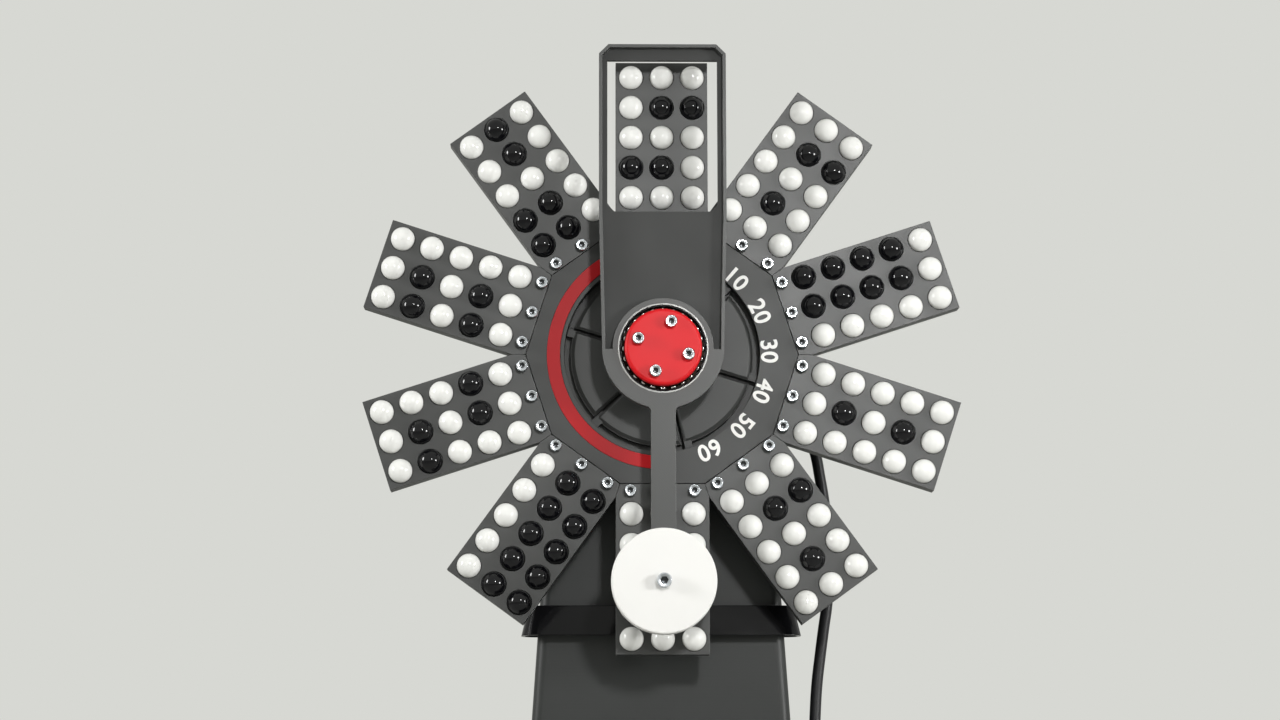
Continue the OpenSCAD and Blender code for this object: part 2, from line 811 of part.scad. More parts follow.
// Screw places on the rear cover, with z pointing backwards
module cover_screw_places()
  for (x = [-1, 1], z = cover_screw_zs)
    translate([x * (tower_half(z) - cover_screw_inset), tower_back_y, z])
      rotate([-90, 0, 0]) children();

module rear_cover()
  color(printed_grey)
    difference() {
      tower_slab(cover_foot_z, cover_head_z, cover_inset, tower_back_y, tower_back_y + 3);
      for (i = [0:5])
        translate([-20, tower_back_y - 1, cover_foot_z + 40 + i * 9]) cube([40, 5, 3]);
      cover_screw_places() translate([0, 0, -1]) cylinder(r = m3_clear_r, h = 6);
    }

module cover_screws()
  color(zinc) cover_screw_places() translate([0, 0, 3]) socket_screw(m3_r, 8, 2.75, 2, 2);

// Four round posts at the corners of a rectangle, for a hull
module corner_posts(half_w, y_from, y_to, z, r)
  for (x = [-1, 1], y = [y_from + r, y_to - r])
    translate([x * (half_w - r), y, z]) cylinder(r = r, h = eps, $fn = 32);

// A hollow band round the tower's front corners that covers the joint
module collar()
  color(lip_black)
    difference() {
      hull() {
        corner_posts(82, tower_front_y - 10, collar_back_y, collar_foot_z, 9);
        corner_posts(78, tower_front_y - 6, collar_back_y - 1, collar_top_z - eps, 8);
      }
      hull() {
        corner_posts(80, tower_front_y - 8, collar_back_y - 2, collar_foot_z - 1, 7);
        corner_posts(76.4, tower_front_y - 4.4, collar_back_y - 3, collar_top_z - 2.5, 6);
      }
      tower_block(collar_foot_z - 10, collar_top_z + 10, -0.02);
    }

module foot_places()
  for (x = [-1, 1], y = foot_ys) translate([x * foot_xs, y, 0]) children();

module base_plate()
  color(printed_grey)
    difference() {
      union() {
        translate([0, 0, base_floor_z]) linear_extrude(tower_floor_z - base_floor_z) {
          translate([-base_half_w + 10, base_front_y])
            square([2 * base_half_w - 20, base_back_y - base_front_y]);
          translate([-base_half_w, base_front_y + 10])
            square([2 * base_half_w, base_back_y - base_front_y - 20]);
          for (x = [-1, 1], y = [base_front_y + 10, base_back_y - 10])
            translate([x * (base_half_w - 10), y]) circle(r = 10);
        }
        for (x = [-1, 1], y = board_ys)
          translate([x * board_xs, y, tower_floor_z - 1]) cylinder(r = 3, h = 7);
      }
      foot_places() translate([0, 0, base_floor_z - 1]) cylinder(r = 9 + eps, h = 2);
      for (x = [-1, 1], y = base_screw_ys) translate([x * base_screw_x, y, 0]) {
        drill(m4_clear_r, base_floor_z - 1, tower_floor_z + 1);
        drill(3.8, base_floor_z - 1, base_floor_z + 4.2);
      }
    }

module rubber_feet() color("#1b1b1d") foot_places() cylinder(r = 9, h = 5);

module base_screws()
  color(zinc)
    for (x = [-1, 1], y = base_screw_ys)
      translate([x * base_screw_x, y, base_floor_z + 4.2])
        rotate([180, 0, 0]) socket_screw(m4_r, 19, 3.5, 4, 3);

module controller_board()
  color("#1f6b3a") translate([0, 40, tower_floor_z + 6]) {
    difference() {
      translate([-45, -30, 0]) cube([90, 60, 1.6]);
      for (x = [-1, 1], y = [-25, 25]) translate([x * board_xs, y, 0]) drill(1.6, -1, 3);
    }
    translate([-15, -12, 1]) cube([22, 22, 3]);
    translate([20, -10, 1]) cube([16, 21, 8]);
    translate([-34, 12, 1]) cube([30, 9, 10]);
    for (x = [-28, -16]) translate([x, -18, 1]) cylinder(r = 4, h = 11);
  }

// ---------- power lead ----------

module cord_gland()
  color("#17171a")
    at_relief(0)
      rotate_extrude() polygon([
        [0, -8], [5, -8], [5, 11], [8, 11], [8, 13], [7.4, 13.5], [6.2, 13.5],
        [5.9, 17], [5.3, 17], [5.2, 18.6], [5.7, 18.6], [5.4, 22], [4.9, 22], [4.8, 23.6],
        [5.2, 23.6], [4.8, 27.5], [4.4, 27.5], [4.4, 28.8], [4.7, 28.8],
        [4.2, relief_len], [0, relief_len]
      ]);

// A tube along points: rings of a regular polygon, square to the path
function unit(v) = v / norm(v);
function heading(path, i) =
  unit((i < len(path) - 1 ? unit(path[i + 1] - path[i]) : [0, 0, 0])
     + (i > 0 ? unit(path[i] - path[i - 1]) : [0, 0, 0]));
function side_of(path, i, before) =
  let (h = heading(path, i)) unit(before - (before * h) * h);
function sides_from(path, i, so_far) =
  i == len(path) ? so_far
  : sides_from(path, i + 1, concat(so_far, [side_of(path, i, so_far[i - 1])]));
function ring_points(centre, h, side, r, count) =
  let (other = cross(h, side))
  [for (k = [0:count - 1]) centre + r * (cos(360 * k / count) * side + sin(360 * k / count) * other)];
module sweep(path, r, count, first_side) {
  frames = sides_from(path, 1, [side_of(path, 0, first_side)]);
  last = len(path) - 1;
  points = [for (i = [0:last]) each ring_points(path[i], heading(path, i), frames[i], r, count)];
  sides = [for (i = [0:last - 1], k = [0:count - 1])
    let (a = i * count + k, b = i * count + (k + 1) % count)
    each [[a, a + count, b], [b, a + count, b + count]]];
  ends = [[for (k = [0:count - 1]) k], [for (k = [count - 1:-1:0]) last * count + k]];
  polyhedron(points = points, faces = concat(sides, ends));
}

module power_cord() color("#1c1c1f") sweep(LEAD_ROUTE, cord_d / 2, lead_sides, [0, 1, 0]);

// The coil winds in, climbs one layer in half a turn, and winds out again
function coil_radius(t) =
  t <= coil_turns + 0.25 ? coil_r - turn_pitch * t
  : coil_r - turn_pitch * (2 * coil_turns + 0.5 - t);
function coil_climb(t) =
  let (s = min(1, max(0, (t - coil_turns) / 0.5))) (1 - cos(180 * s)) / 2;
function coil_point(t) =
  let (a = 180 - 360 * t)
  coil_centre + [coil_radius(t) * cos(a), coil_radius(t) * sin(a), layer_z * coil_climb(t)];
coil_last = coil_point(coil_all_turns);
COIL_TURNS = [for (i = [0:coil_steps * coil_all_turns]) coil_point(i / coil_steps)];
COIL_ROUTE = concat(
  [[drop_x, coil_start_y, lead_z]],
  COIL_TURNS,
  [coil_last + [0, -cord_d, 0], coil_last + [0, -tail_len, 0]]
);
least_coil_gap = min([for (i = [0:len(COIL_TURNS) - 1], j = [i + coil_steps / 2:len(COIL_TURNS) - 1])
  norm(COIL_TURNS[i] - COIL_TURNS[j])]) - cord_d;
echo(least_coil_gap = least_coil_gap);

module cord_coil() color("#1c1c1f") sweep(COIL_ROUTE, cord_d / 2, coil_sides, [0, 0, 1]);

plug_half_t = lead_z + layer_z;
module power_plug()
  translate(coil_last + [0, -tail_len, 0]) rotate([90, 0, 0]) {
    color("#17171a") intersection() {
      rotate_extrude() polygon([
        [0, 0], [5, 0], [5.6, 12], [9.5, 18], [12.5, 24], [13, 32], [12.4, 42], [11, 44], [0, 44]
      ]);
      translate([-20, -plug_half_t, -1]) cube([40, 2 * plug_half_t, 50]);
    }
    color(zinc) for (x = [-1, 1]) translate([x * 5.5, 0, 43]) cylinder(r = 2.2, h = 19);
  }

hub_ring();
hub_disc();
red_arc();
digit_panel(0);  // digit_panel_0
digit_panel(1);  // digit_panel_1
digit_panel(2);  // digit_panel_2
digit_panel(3);  // digit_panel_3
digit_panel(4);  // digit_panel_4
digit_panel(5);  // digit_panel_5
digit_panel(6);  // digit_panel_6
digit_panel(7);  // digit_panel_7
digit_panel(8);  // digit_panel_8
digit_panel(9);  // digit_panel_9
white_marbles();
black_marbles();
panel_screws();
ring_screws();
home_magnet();
bearing_post();
post_screws();
clamp_cap();
cap_screws();
frame_bearing_inner();
main_shaft();
shaft_pin();
driven_gear();
gear_screws();
shaft_spacer();
shaft_bearings_inner();
shaft_collar();
frame_bearing_balls();
frame_bearing_cage();
window_frame();
frame_bearing_outer();
counterweight_disc();
counterweight_slug();
disc_bolt();
disc_nut();
motor_shaft();
drive_pinion();
tower_lower();
tower_upper();
collar();
rear_cover();
cover_screws();
base_plate();
base_screws();
rubber_feet();
bearing_carrier();
carrier_screws();
shaft_bearings_outer();
stepper_motor();
motor_screws();
hall_sensor();
controller_board();
cord_gland();
power_cord();
cord_coil();
power_plug();
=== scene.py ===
import math
import bmesh
import bpy
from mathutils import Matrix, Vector


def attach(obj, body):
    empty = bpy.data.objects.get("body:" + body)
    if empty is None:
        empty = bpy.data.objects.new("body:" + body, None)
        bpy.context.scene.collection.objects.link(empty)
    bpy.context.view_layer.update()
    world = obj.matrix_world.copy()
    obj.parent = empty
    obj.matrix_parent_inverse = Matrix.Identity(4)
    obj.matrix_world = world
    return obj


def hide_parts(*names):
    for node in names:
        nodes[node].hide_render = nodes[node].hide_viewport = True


# Digit wheel clock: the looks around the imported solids, in metres.
# Lengths in the dictionaries are millimetres, angles are degrees.

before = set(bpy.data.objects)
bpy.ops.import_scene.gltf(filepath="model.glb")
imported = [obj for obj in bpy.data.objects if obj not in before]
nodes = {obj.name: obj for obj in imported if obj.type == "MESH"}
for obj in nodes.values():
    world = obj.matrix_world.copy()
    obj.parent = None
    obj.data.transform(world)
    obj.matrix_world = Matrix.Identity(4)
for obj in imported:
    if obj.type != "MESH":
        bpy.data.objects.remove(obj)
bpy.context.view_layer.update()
scene = bpy.context.scene
mm = 0.001
axleHeight = 280
faceY = -60  # the panels' front face


def onFace(x, y, h=0.0):  # right of and above the axle, h in front of the panels
    return Vector((x, faceY - h, axleHeight + y)) * mm


def turned(x, y, degrees):  # anticlockwise as the viewer sees it
    a = math.radians(degrees)
    return (x * math.cos(a) - y * math.sin(a), x * math.sin(a) + y * math.cos(a))


def onCircle(radius, degrees):
    return turned(radius, 0, degrees)


def onFaceRing(count, radius, start, h):
    return [onFace(*onCircle(radius, start + i * 360 / count), h) for i in range(count)]


def hexColour(code):  # sRGB hex to the linear colour that the shaders use
    parts = [int(code[i:i + 2], 16) / 255 for i in (1, 3, 5)]
    return [p / 12.92 if p <= 0.04045 else ((p + 0.055) / 1.055) ** 2.4 for p in parts] + [1]


def addNode(tree, kind, inputs=None, **settings):
    node = tree.nodes.new(kind)
    for name, value in settings.items():
        setattr(node, name, value)
    for key, value in (inputs or {}).items():
        if isinstance(value, bpy.types.NodeSocket):
            tree.links.new(value, node.inputs[key])
        else:
            node.inputs[key].default_value = value
    return node


def newObject(name, data):
    thing = bpy.data.objects.new(name, data)
    scene.collection.objects.link(thing)
    return thing


def finalMesh(thing):  # the mesh with its modifiers applied
    graph = bpy.context.evaluated_depsgraph_get()
    return bpy.data.meshes.new_from_object(thing.evaluated_get(graph), depsgraph=graph)


# camera and lead first

camera = {
    "place": (-45.0, -1825.7, 9.4),  # at table height, looking up at the hub
    "turn": (98.609, 0.094, -1.028),
    "lens": 86.4,  # on a 36 mm sensor, fitted to where the marbles stand in the photo
}

cameraData = bpy.data.cameras.new("viewer")
cameraData.lens = camera["lens"]
cameraData.sensor_width = 36
viewer = newObject("viewer", cameraData)
viewer.location = Vector(camera["place"]) * mm
viewer.rotation_euler = [math.radians(a) for a in camera["turn"]]
scene.camera = viewer

powerLead = {
    "diameter": 6.8,
    "length": 1600,
    "drop": [  # from the strain relief down to the table, as in the solid
        (86, 15, 244), (87.2, 15, 242.8), (89.9, 15, 239.7), (92.1, 15, 236.2),
        (93.8, 15, 232.4), (94.9, 15, 228.3), (96.8, 15, 217), (98.6, 15, 206),
        (100.3, 15, 192), (101.4, 15, 175), (101.5, 15, 158), (100.3, 15, 140),
        (98.1, 15, 125), (95.9, 15, 109), (94, 15, 94), (92.8, 15, 78), (92.2, 15, 62),
        (92, 15, 43.45), (92, 15, 33.45), (92, 17.3, 21.95), (92, 23.8, 12.25),
        (92, 33.5, 5.75), (92, 45, 3.45), (92, 50, 3.45),
    ],
    "coilCentre": (139.5, 56.8, 3.45),
    "coilRadius": 47.5,
    "coilTurns": 2.5,  # in each of two layers
    "climbTurns": 0.5,  # between the layers
    "turnPitch": 7.4,
    "layerHeight": 7.3,
    "stepsPerTurn": 24,
    "tail": 34,
}


def coilPoint(t):
    turns, climb = powerLead["coilTurns"], powerLead["climbTurns"]
    inwards = t if t <= turns + climb / 2 else 2 * turns + climb - t
    rise = (1 - math.cos(math.pi * min(1, max(0, (t - turns) / climb)))) / 2
    x, y, z = powerLead["coilCentre"]
    dx, dy = onCircle(powerLead["coilRadius"] - powerLead["turnPitch"] * inwards, 180 - 360 * t)
    return (x + dx, y + dy, z + powerLead["layerHeight"] * rise)


def leadPoints():
    last = 2 * powerLead["coilTurns"] + powerLead["climbTurns"]
    steps = int(powerLead["stepsPerTurn"] * last)
    points = powerLead["drop"] + [coilPoint(i / powerLead["stepsPerTurn"]) for i in range(steps + 1)]
    x, y, z = points[-1]
    points += [(x, y - powerLead["diameter"], z), (x, y - powerLead["tail"], z)]
    return [Vector(p) * mm for p in points]


leadData = bpy.data.curves.new("power_lead", "CURVE")
leadData.dimensions = "3D"
leadData.bevel_depth = powerLead["diameter"] / 2 * mm
leadData.bevel_resolution = 5
leadData.resolution_u = 5
leadData.use_fill_caps = True
leadSpline = leadData.splines.new("BEZIER")
leadRoute = leadPoints()
leadSpline.bezier_points.add(len(leadRoute) - 1)
for point, place in zip(leadSpline.bezier_points, leadRoute):
    point.co = place
    point.handle_left_type = point.handle_right_type = "AUTO"
lead = newObject("power_lead", leadData)
print("camera and lead made")

# materials


def newMaterial(name):
    material = bpy.data.materials.new(name)
    material.use_nodes = True
    tree = material.node_tree
    tree.nodes.clear()
    shader = addNode(tree, "ShaderNodeBsdfPrincipled")
    addNode(tree, "ShaderNodeOutputMaterial", {"Surface": shader.outputs[0]})
    return material, tree, shader, addNode(tree, "ShaderNodeTexCoord").outputs


def blendColours(tree, factor, first, second):
    return addNode(tree, "ShaderNodeMix", {0: factor, 6: first, 7: second}, data_type="RGBA").outputs[2]


def edgeWearAndHighlight(tree, rounded, most):  # 0 on flat faces, rising to most at the edges
    plain = addNode(tree, "ShaderNodeNewGeometry").outputs["Normal"]
    meeting = addNode(tree, "ShaderNodeVectorMath", {0: rounded, 1: plain}, operation="DOT_PRODUCT")
    return addNode(tree, "ShaderNodeMapRange", {"Value": meeting.outputs["Value"], "From Min": 0.995,
                   "From Max": 0.8, "To Min": 0.0, "To Max": most}).outputs[0]


def printedPlastic(name, colour, lighter, worn, rough=0.5, upright=False, relief=0.15, level=0.5,
                   floorAt=None, floorColour=None):
    # printed plastic: matt, with paler rubbed edges and fine nozzle lines that break up
    # the sheen, drawn 0.8 to 1.1 mm apart because the real 0.4 mm is too fine to show
    material, tree, shader, coords = newMaterial(name)
    place = coords["Object"]
    patches = addNode(tree, "ShaderNodeTexNoise", {"Vector": place, "Scale": 35.0, "Detail": 5.0}).outputs[0]
    grain = addNode(tree, "ShaderNodeTexNoise", {"Vector": place, "Scale": 1400.0, "Detail": 1.0}).outputs[0]
    waves = {"Vector": place, "Scale": 390.0, "Distortion": 0.5, "Detail": 1.0, "Detail Scale": 0.5}
    layers = addNode(tree, "ShaderNodeTexWave", waves, bands_direction="Z" if upright else "Y").outputs[1]
    if not upright:  # the flat faces show the nozzle's slanting strokes, the sides its layers
        strokes = addNode(tree, "ShaderNodeTexWave", waves, bands_direction="DIAGONAL").outputs[1]
        sideways = addNode(tree, "ShaderNodeSeparateXYZ", {0: coords["Normal"]}).outputs[1]
        sideways = addNode(tree, "ShaderNodeMath", {0: sideways}, operation="ABSOLUTE").outputs[0]
        isFlat = addNode(tree, "ShaderNodeMath", {0: sideways, 1: 0.7}, operation="GREATER_THAN").outputs[0]
        layers = addNode(tree, "ShaderNodeMix", {0: isFlat, 2: layers, 3: strokes}).outputs[0]
    rounded = addNode(tree, "ShaderNodeBevel", {"Radius": 0.45 * mm}, samples=4).outputs[0]
    wear = edgeWearAndHighlight(tree, rounded, 0.5)
    tone = blendColours(tree, patches, hexColour(colour), hexColour(lighter))
    fleck = addNode(tree, "ShaderNodeMapRange", {"Value": grain, "From Min": 0.35, "From Max": 0.75,
                    "To Min": 0.0, "To Max": 0.22}).outputs[0]
    tone = blendColours(tree, fleck, tone, hexColour(lighter))
    dull = addNode(tree, "ShaderNodeMapRange", {"Value": patches, "To Min": rough - 0.06,
                   "To Max": rough + 0.1}).outputs[0]
    if floorAt:  # the sunk floor behind this depth has the rougher skin of its last layer, and is coloured darker
        depth = addNode(tree, "ShaderNodeSeparateXYZ", {0: place}).outputs[1]
        isFloor = addNode(tree, "ShaderNodeMath", {0: depth, 1: floorAt * mm},
                          operation="GREATER_THAN").outputs[0]
        dull = addNode(tree, "ShaderNodeMath", {0: isFloor, 1: 0.2, 2: dull},
                       operation="MULTIPLY_ADD").outputs[0]
        tone = blendColours(tree, isFloor, tone, hexColour(floorColour))
    tree.links.new(blendColours(tree, wear, tone, hexColour(worn)), shader.inputs["Base Color"])
    tree.links.new(dull, shader.inputs["Roughness"])
    shader.inputs["Specular IOR Level"].default_value = level
    height = addNode(tree, "ShaderNodeMath", {0: layers, 1: 0.7, 2: grain},
                     operation="MULTIPLY_ADD").outputs[0]
    bump = addNode(tree, "ShaderNodeBump", {"Height": height, "Normal": rounded, "Strength": relief,
                   "Distance": 0.06 * mm})
    tree.links.new(bump.outputs[0], shader.inputs["Normal"])
    return material


def opaqueGlass(name, colour, swirl, rough, level):
    # glass marble: a deep even colour with faint flow streaks under a clear gloss
    material, tree, shader, coords = newMaterial(name)
    place = coords["Object"]
    flow = addNode(tree, "ShaderNodeTexNoise", {"Vector": place, "Scale": 120.0, "Detail": 3.0,
                   "Distortion": 2.0}).outputs[0]
    dust = addNode(tree, "ShaderNodeTexNoise", {"Vector": place, "Scale": 700.0, "Detail": 2.0}).outputs[0]
    tree.links.new(blendColours(tree, flow, hexColour(colour), hexColour(swirl)), shader.inputs["Base Color"])
    gloss = addNode(tree, "ShaderNodeMapRange", {"Value": dust, "From Min": 0.4, "From Max": 0.8,
                    "To Min": rough, "To Max": rough + 0.07})
    tree.links.new(gloss.outputs[0], shader.inputs["Roughness"])
    bump = addNode(tree, "ShaderNodeBump", {"Height": flow, "Strength": 0.05, "Distance": 0.05 * mm})
    tree.links.new(bump.outputs[0], shader.inputs["Normal"])
    shader.inputs["IOR"].default_value = 1.5
    shader.inputs["Specular IOR Level"].default_value = level
    return material


paintedSocketShade = "#4a4c4e"  # painted shade at the bottom of the screws' sockets
paintedRaceShade = "#1b1a1a"  # painted shade in the groove between the bearing's races


def metal(name, colour, darker, rough, edge=0.15, paintedEdgeHighlight=None, grooveShadeRadius=None):
    # plated or turned metal: a fine grain spreads the highlights, and where asked the edges are painted
    # bright as a highlight
    material, tree, shader, coords = newMaterial(name)
    shader.inputs["Metallic"].default_value = 1.0
    scuffs = addNode(tree, "ShaderNodeTexNoise", {"Vector": coords["Object"], "Scale": 500.0,
                     "Detail": 4.0}).outputs[0]
    tone = blendColours(tree, scuffs, hexColour(colour), hexColour(darker))
    dull = addNode(tree, "ShaderNodeMapRange", {"Value": scuffs, "To Min": rough - 0.06,
                   "To Max": rough + 0.14})
    tree.links.new(dull.outputs[0], shader.inputs["Roughness"])
    rounded = addNode(tree, "ShaderNodeBevel", {"Radius": edge * mm}, samples=4).outputs[0]
    # painted highlight: a brighter colour on the rounded edges stands in for the glint on a chamfer
    if paintedEdgeHighlight:
        tone = blendColours(tree, edgeWearAndHighlight(tree, rounded, 0.9), tone, hexColour(paintedEdgeHighlight))
    if grooveShadeRadius:  # inside this distance from the axle the race is painted near-black: painted shade in the groove between the races
        fromAxle = addNode(tree, "ShaderNodeVectorMath", {0: coords["Object"], 1: (1, 0, 1),
                           2: (0, 0, -axleHeight * mm)}, operation="MULTIPLY_ADD").outputs[0]
        distance = addNode(tree, "ShaderNodeVectorMath", {0: fromAxle}, operation="LENGTH").outputs["Value"]
        isShadedGroove = addNode(tree, "ShaderNodeMath", {0: distance, 1: grooveShadeRadius * mm}, operation="LESS_THAN")
        tone = blendColours(tree, isShadedGroove.outputs[0], tone, hexColour(paintedRaceShade))
    # painted shade: the screws' marked socket floors turn dark
    socketShade = addNode(tree, "ShaderNodeAttribute", attribute_name="socketShade").outputs["Fac"]
    tone = blendColours(tree, socketShade, tone, hexColour(paintedSocketShade))
    tree.links.new(tone, shader.inputs["Base Color"])
    bump = addNode(tree, "ShaderNodeBump", {"Height": scuffs, "Normal": rounded, "Strength": 0.2,
                   "Distance": 0.02 * mm})
    tree.links.new(bump.outputs[0], shader.inputs["Normal"])
    return material


def moulded(name, colour, lighter, rough, grainScale, grainDepth, level=0.5, edge=0.4):
    # moulded plastic or rubber: an even skin with a fine cast grain
    material, tree, shader, coords = newMaterial(name)
    grain = addNode(tree, "ShaderNodeTexNoise", {"Vector": coords["Object"], "Scale": grainScale,
                    "Detail": 3.0}).outputs[0]
    smears = addNode(tree, "ShaderNodeTexNoise", {"Vector": coords["Object"], "Scale": 40.0,
                     "Detail": 4.0, "Distortion": 0.6}).outputs[0]
    tone = blendColours(tree, smears, hexColour(colour), hexColour(lighter))
    tree.links.new(tone, shader.inputs["Base Color"])
    dull = addNode(tree, "ShaderNodeMapRange", {"Value": smears, "To Min": rough - 0.05,
                   "To Max": rough + 0.09})
    tree.links.new(dull.outputs[0], shader.inputs["Roughness"])
    rounded = addNode(tree, "ShaderNodeBevel", {"Radius": edge * mm}, samples=4).outputs[0]
    bump = addNode(tree, "ShaderNodeBump", {"Height": grain, "Normal": rounded, "Strength": 0.3,
                   "Distance": grainDepth * mm})
    tree.links.new(bump.outputs[0], shader.inputs["Normal"])
    shader.inputs["Specular IOR Level"].default_value = level
    return material


panelPrint = printedPlastic("dark_grey_printed_PLA", "#323332", "#3a3b3a", "#5c5d5b", rough=0.41, level=0.65)
hubPrint = printedPlastic("dark_grey_printed_PLA_hub", "#2f302f", "#373837", "#5c5d5b", rough=0.46)
windowPrint = printedPlastic("dark_grey_printed_PLA_window", "#393a39", "#414241", "#80817f", rough=0.42,
                             level=0.6, floorAt=-81.5, floorColour="#292a29")
towerPrint = printedPlastic("dark_grey_printed_PLA_upright", "#282a29", "#303231", "#646665",
                            rough=0.42, upright=True, relief=0.25, level=0.42)
redPrint = printedPlastic("red_printed_PLA", "#cb0a15", "#d6121c", "#e05058", rough=0.42, level=0.32)
redInlay = printedPlastic("red_printed_PLA_inlay", "#a80912", "#b21019", "#c84046", rough=0.45, level=0.3)
gearPrint = printedPlastic("charcoal_printed_PLA", "#303234", "#383a3c", "#5a5c5e")
whitePrint = printedPlastic("white_printed_PLA", "#ecebe8", "#f3f2ef", "#f8f8f6", rough=0.45)
whiteGlass = opaqueGlass("white_glass", "#f6f6f3", "#eeeeea", rough=0.1, level=0.5)
blackGlass = opaqueGlass("black_glass", "#070709", "#0e0e12", rough=0.04, level=0.36)
zincSteel = metal("zinc_plated_steel", "#d6dade", "#b4b9be", rough=0.2)
bearingSteel = metal("polished_bearing_steel", "#d8dadc", "#bcc0c3", rough=0.16)
# race steel: painted shade near the axle, in the groove between the races, and a painted highlight on the
# rounded edges
raceSteel = metal("race_steel_painted_shade_and_edge_highlight", "#8a8a88", "#767674", rough=0.3, edge=0.25, paintedEdgeHighlight="#c8c8c6",
                  grooveShadeRadius=25.2)
ballSteel = metal("polished_ball_steel", "#dedad6", "#c8c4c0", rough=0.16)
# dark cage; its warm brown tint is a painted reflection of the red cap
darkCage = metal("dark_cage_painted_red_reflection", "#2c2620", "#1f1a16", rough=0.45)
turnedAluminium = metal("turned_aluminium", "#c2c5c8", "#a7abaf", rough=0.32)
plainSteel = metal("plain_steel", "#9a9da1", "#808488", rough=0.35)
magnetNickel = metal("nickel_plated_magnet", "#cfcdc6", "#b9b6ae", rough=0.18)
glossBlack = moulded("gloss_black_acrylic", "#0b0b0d", "#0f0f11", rough=0.1, grainScale=300.0,
                     grainDepth=0.02, level=0.25, edge=0.9)
footRubber = moulded("black_rubber", "#1c1c1d", "#242425", rough=0.75, grainScale=1200.0, grainDepth=0.06,
                     level=0.3)
motorBlack = moulded("black_painted_steel", "#232426", "#2b2c2e", rough=0.42, grainScale=1200.0,
                     grainDepth=0.03)
boardGreen = moulded("green_circuit_board", "#1c5a34", "#246a3e", rough=0.35, grainScale=500.0,
                     grainDepth=0.02)
leadBlack = moulded("black_pvc_lead", "#19191b", "#202023", rough=0.42, grainScale=800.0, grainDepth=0.03,
                    level=0.45)
print("materials made")

finishes = {
    panelPrint: [f"digit_panel_{digit}" for digit in range(10)],
    hubPrint: ["hub_ring", "hub_disc", "bearing_carrier", "base_plate"],
    windowPrint: ["window_frame"],
    towerPrint: ["tower_lower", "tower_upper", "rear_cover"],
    redPrint: ["clamp_cap"],
    redInlay: ["red_arc"],
    gearPrint: ["driven_gear"],
    whitePrint: ["counterweight_disc"],
    whiteGlass: ["white_marbles"],
    blackGlass: ["black_marbles"],
    zincSteel: ["panel_screws", "ring_screws", "post_screws", "cap_screws", "gear_screws", "disc_bolt",
                "disc_nut", "cover_screws", "base_screws", "carrier_screws", "motor_screws"],
    bearingSteel: ["main_shaft", "shaft_pin", "shaft_bearings_inner", "motor_shaft", "drive_pinion"],
    raceSteel: ["frame_bearing_inner", "frame_bearing_outer"],
    ballSteel: ["frame_bearing_balls"],
    darkCage: ["frame_bearing_cage"],
    turnedAluminium: ["bearing_post"],
    plainSteel: ["shaft_spacer", "shaft_collar", "counterweight_slug", "shaft_bearings_outer"],
    magnetNickel: ["home_magnet"],
    glossBlack: ["collar"],
    footRubber: ["rubber_feet"],
    motorBlack: ["stepper_motor"],
    boardGreen: ["hall_sensor", "controller_board"],
    leadBlack: ["cord_gland"],
}
for material, names in finishes.items():
    for name in names:
        for used in nodes[name].material_slots:
            used.material = material
leadData.materials.append(leadBlack)
print("solids finished")

# what repeats: marbles, bearing balls and screws, set out by geometry nodes


def scatterTree(name):  # copies of one shape on points, each given its own spin
    tree = bpy.data.node_groups.new(name, "GeometryNodeTree")
    face = tree.interface
    face.new_socket("Places", in_out="INPUT", socket_type="NodeSocketGeometry")
    face.new_socket("Shape", in_out="INPUT", socket_type="NodeSocketObject")
    face.new_socket("Facing", in_out="INPUT", socket_type="NodeSocketRotation")
    face.new_socket("Spin", in_out="INPUT", socket_type="NodeSocketFloat")
    face.new_socket("Seed", in_out="INPUT", socket_type="NodeSocketInt")
    face.new_socket("Finish", in_out="INPUT", socket_type="NodeSocketMaterial")
    face.new_socket("Result", in_out="OUTPUT", socket_type="NodeSocketGeometry")
    given = addNode(tree, "NodeGroupInput").outputs
    shape = addNode(tree, "GeometryNodeObjectInfo", {"Object": given["Shape"]}).outputs["Geometry"]
    copies = addNode(tree, "GeometryNodeInstanceOnPoints", {"Points": given["Places"], "Instance": shape,
                     "Rotation": given["Facing"]}).outputs[0]
    chance = addNode(tree, "FunctionNodeRandomValue", {2: 0.0, 3: given["Spin"],
                     "Seed": given["Seed"]}).outputs[1]
    spin = addNode(tree, "ShaderNodeCombineXYZ", {"Z": chance}).outputs[0]
    copies = addNode(tree, "GeometryNodeRotateInstances", {"Instances": copies, "Rotation": spin,
                     "Local Space": True}).outputs[0]
    whole = addNode(tree, "GeometryNodeRealizeInstances", {0: copies}).outputs[0]
    whole = addNode(tree, "GeometryNodeSetMaterial", {0: whole, "Material": given["Finish"]}).outputs[0]
    addNode(tree, "NodeGroupOutput", {0: whole})
    return tree


scatter = scatterTree("set_out_copies")


def setOut(name, shape, places, facing, material, body, replaced, spin=0.0, seed=1):
    points = bpy.data.meshes.new(name)
    points.from_pydata(places, [], [])
    piece = newObject(name, points)
    modifier = piece.modifiers.new("set_out", "NODES")
    modifier.node_group = scatter
    values = {"Shape": shape, "Facing": [math.radians(a) for a in facing], "Spin": math.radians(spin),
              "Seed": seed, "Finish": material}
    for item in scatter.interface.items_tree:
        if item.name in values:
            modifier[item.identifier] = values[item.name]
    mesh = finalMesh(piece)
    piece.modifiers.clear()
    piece.data = mesh
    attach(piece, body)
    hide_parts(replaced)
    return piece


def shapeFrom(name, bm):  # a hidden shape that the copies are made from
    mesh = bpy.data.meshes.new(name)
    bmesh.ops.recalc_face_normals(bm, faces=bm.faces)
    bm.to_mesh(mesh)
    bm.free()
    mesh.shade_smooth()
    mesh.set_sharp_from_angle(angle=math.radians(35))
    return newObject(name, mesh)


def ball(name, diameter, segments, rings):
    bm = bmesh.new()
    bmesh.ops.create_uvsphere(bm, u_segments=segments, v_segments=rings, radius=diameter / 2 * mm)
    return shapeFrom(name, bm)


towardsViewer, awayFromViewer, downwards = (90, 0, 0), (-90, 0, 0), (180, 0, 0)

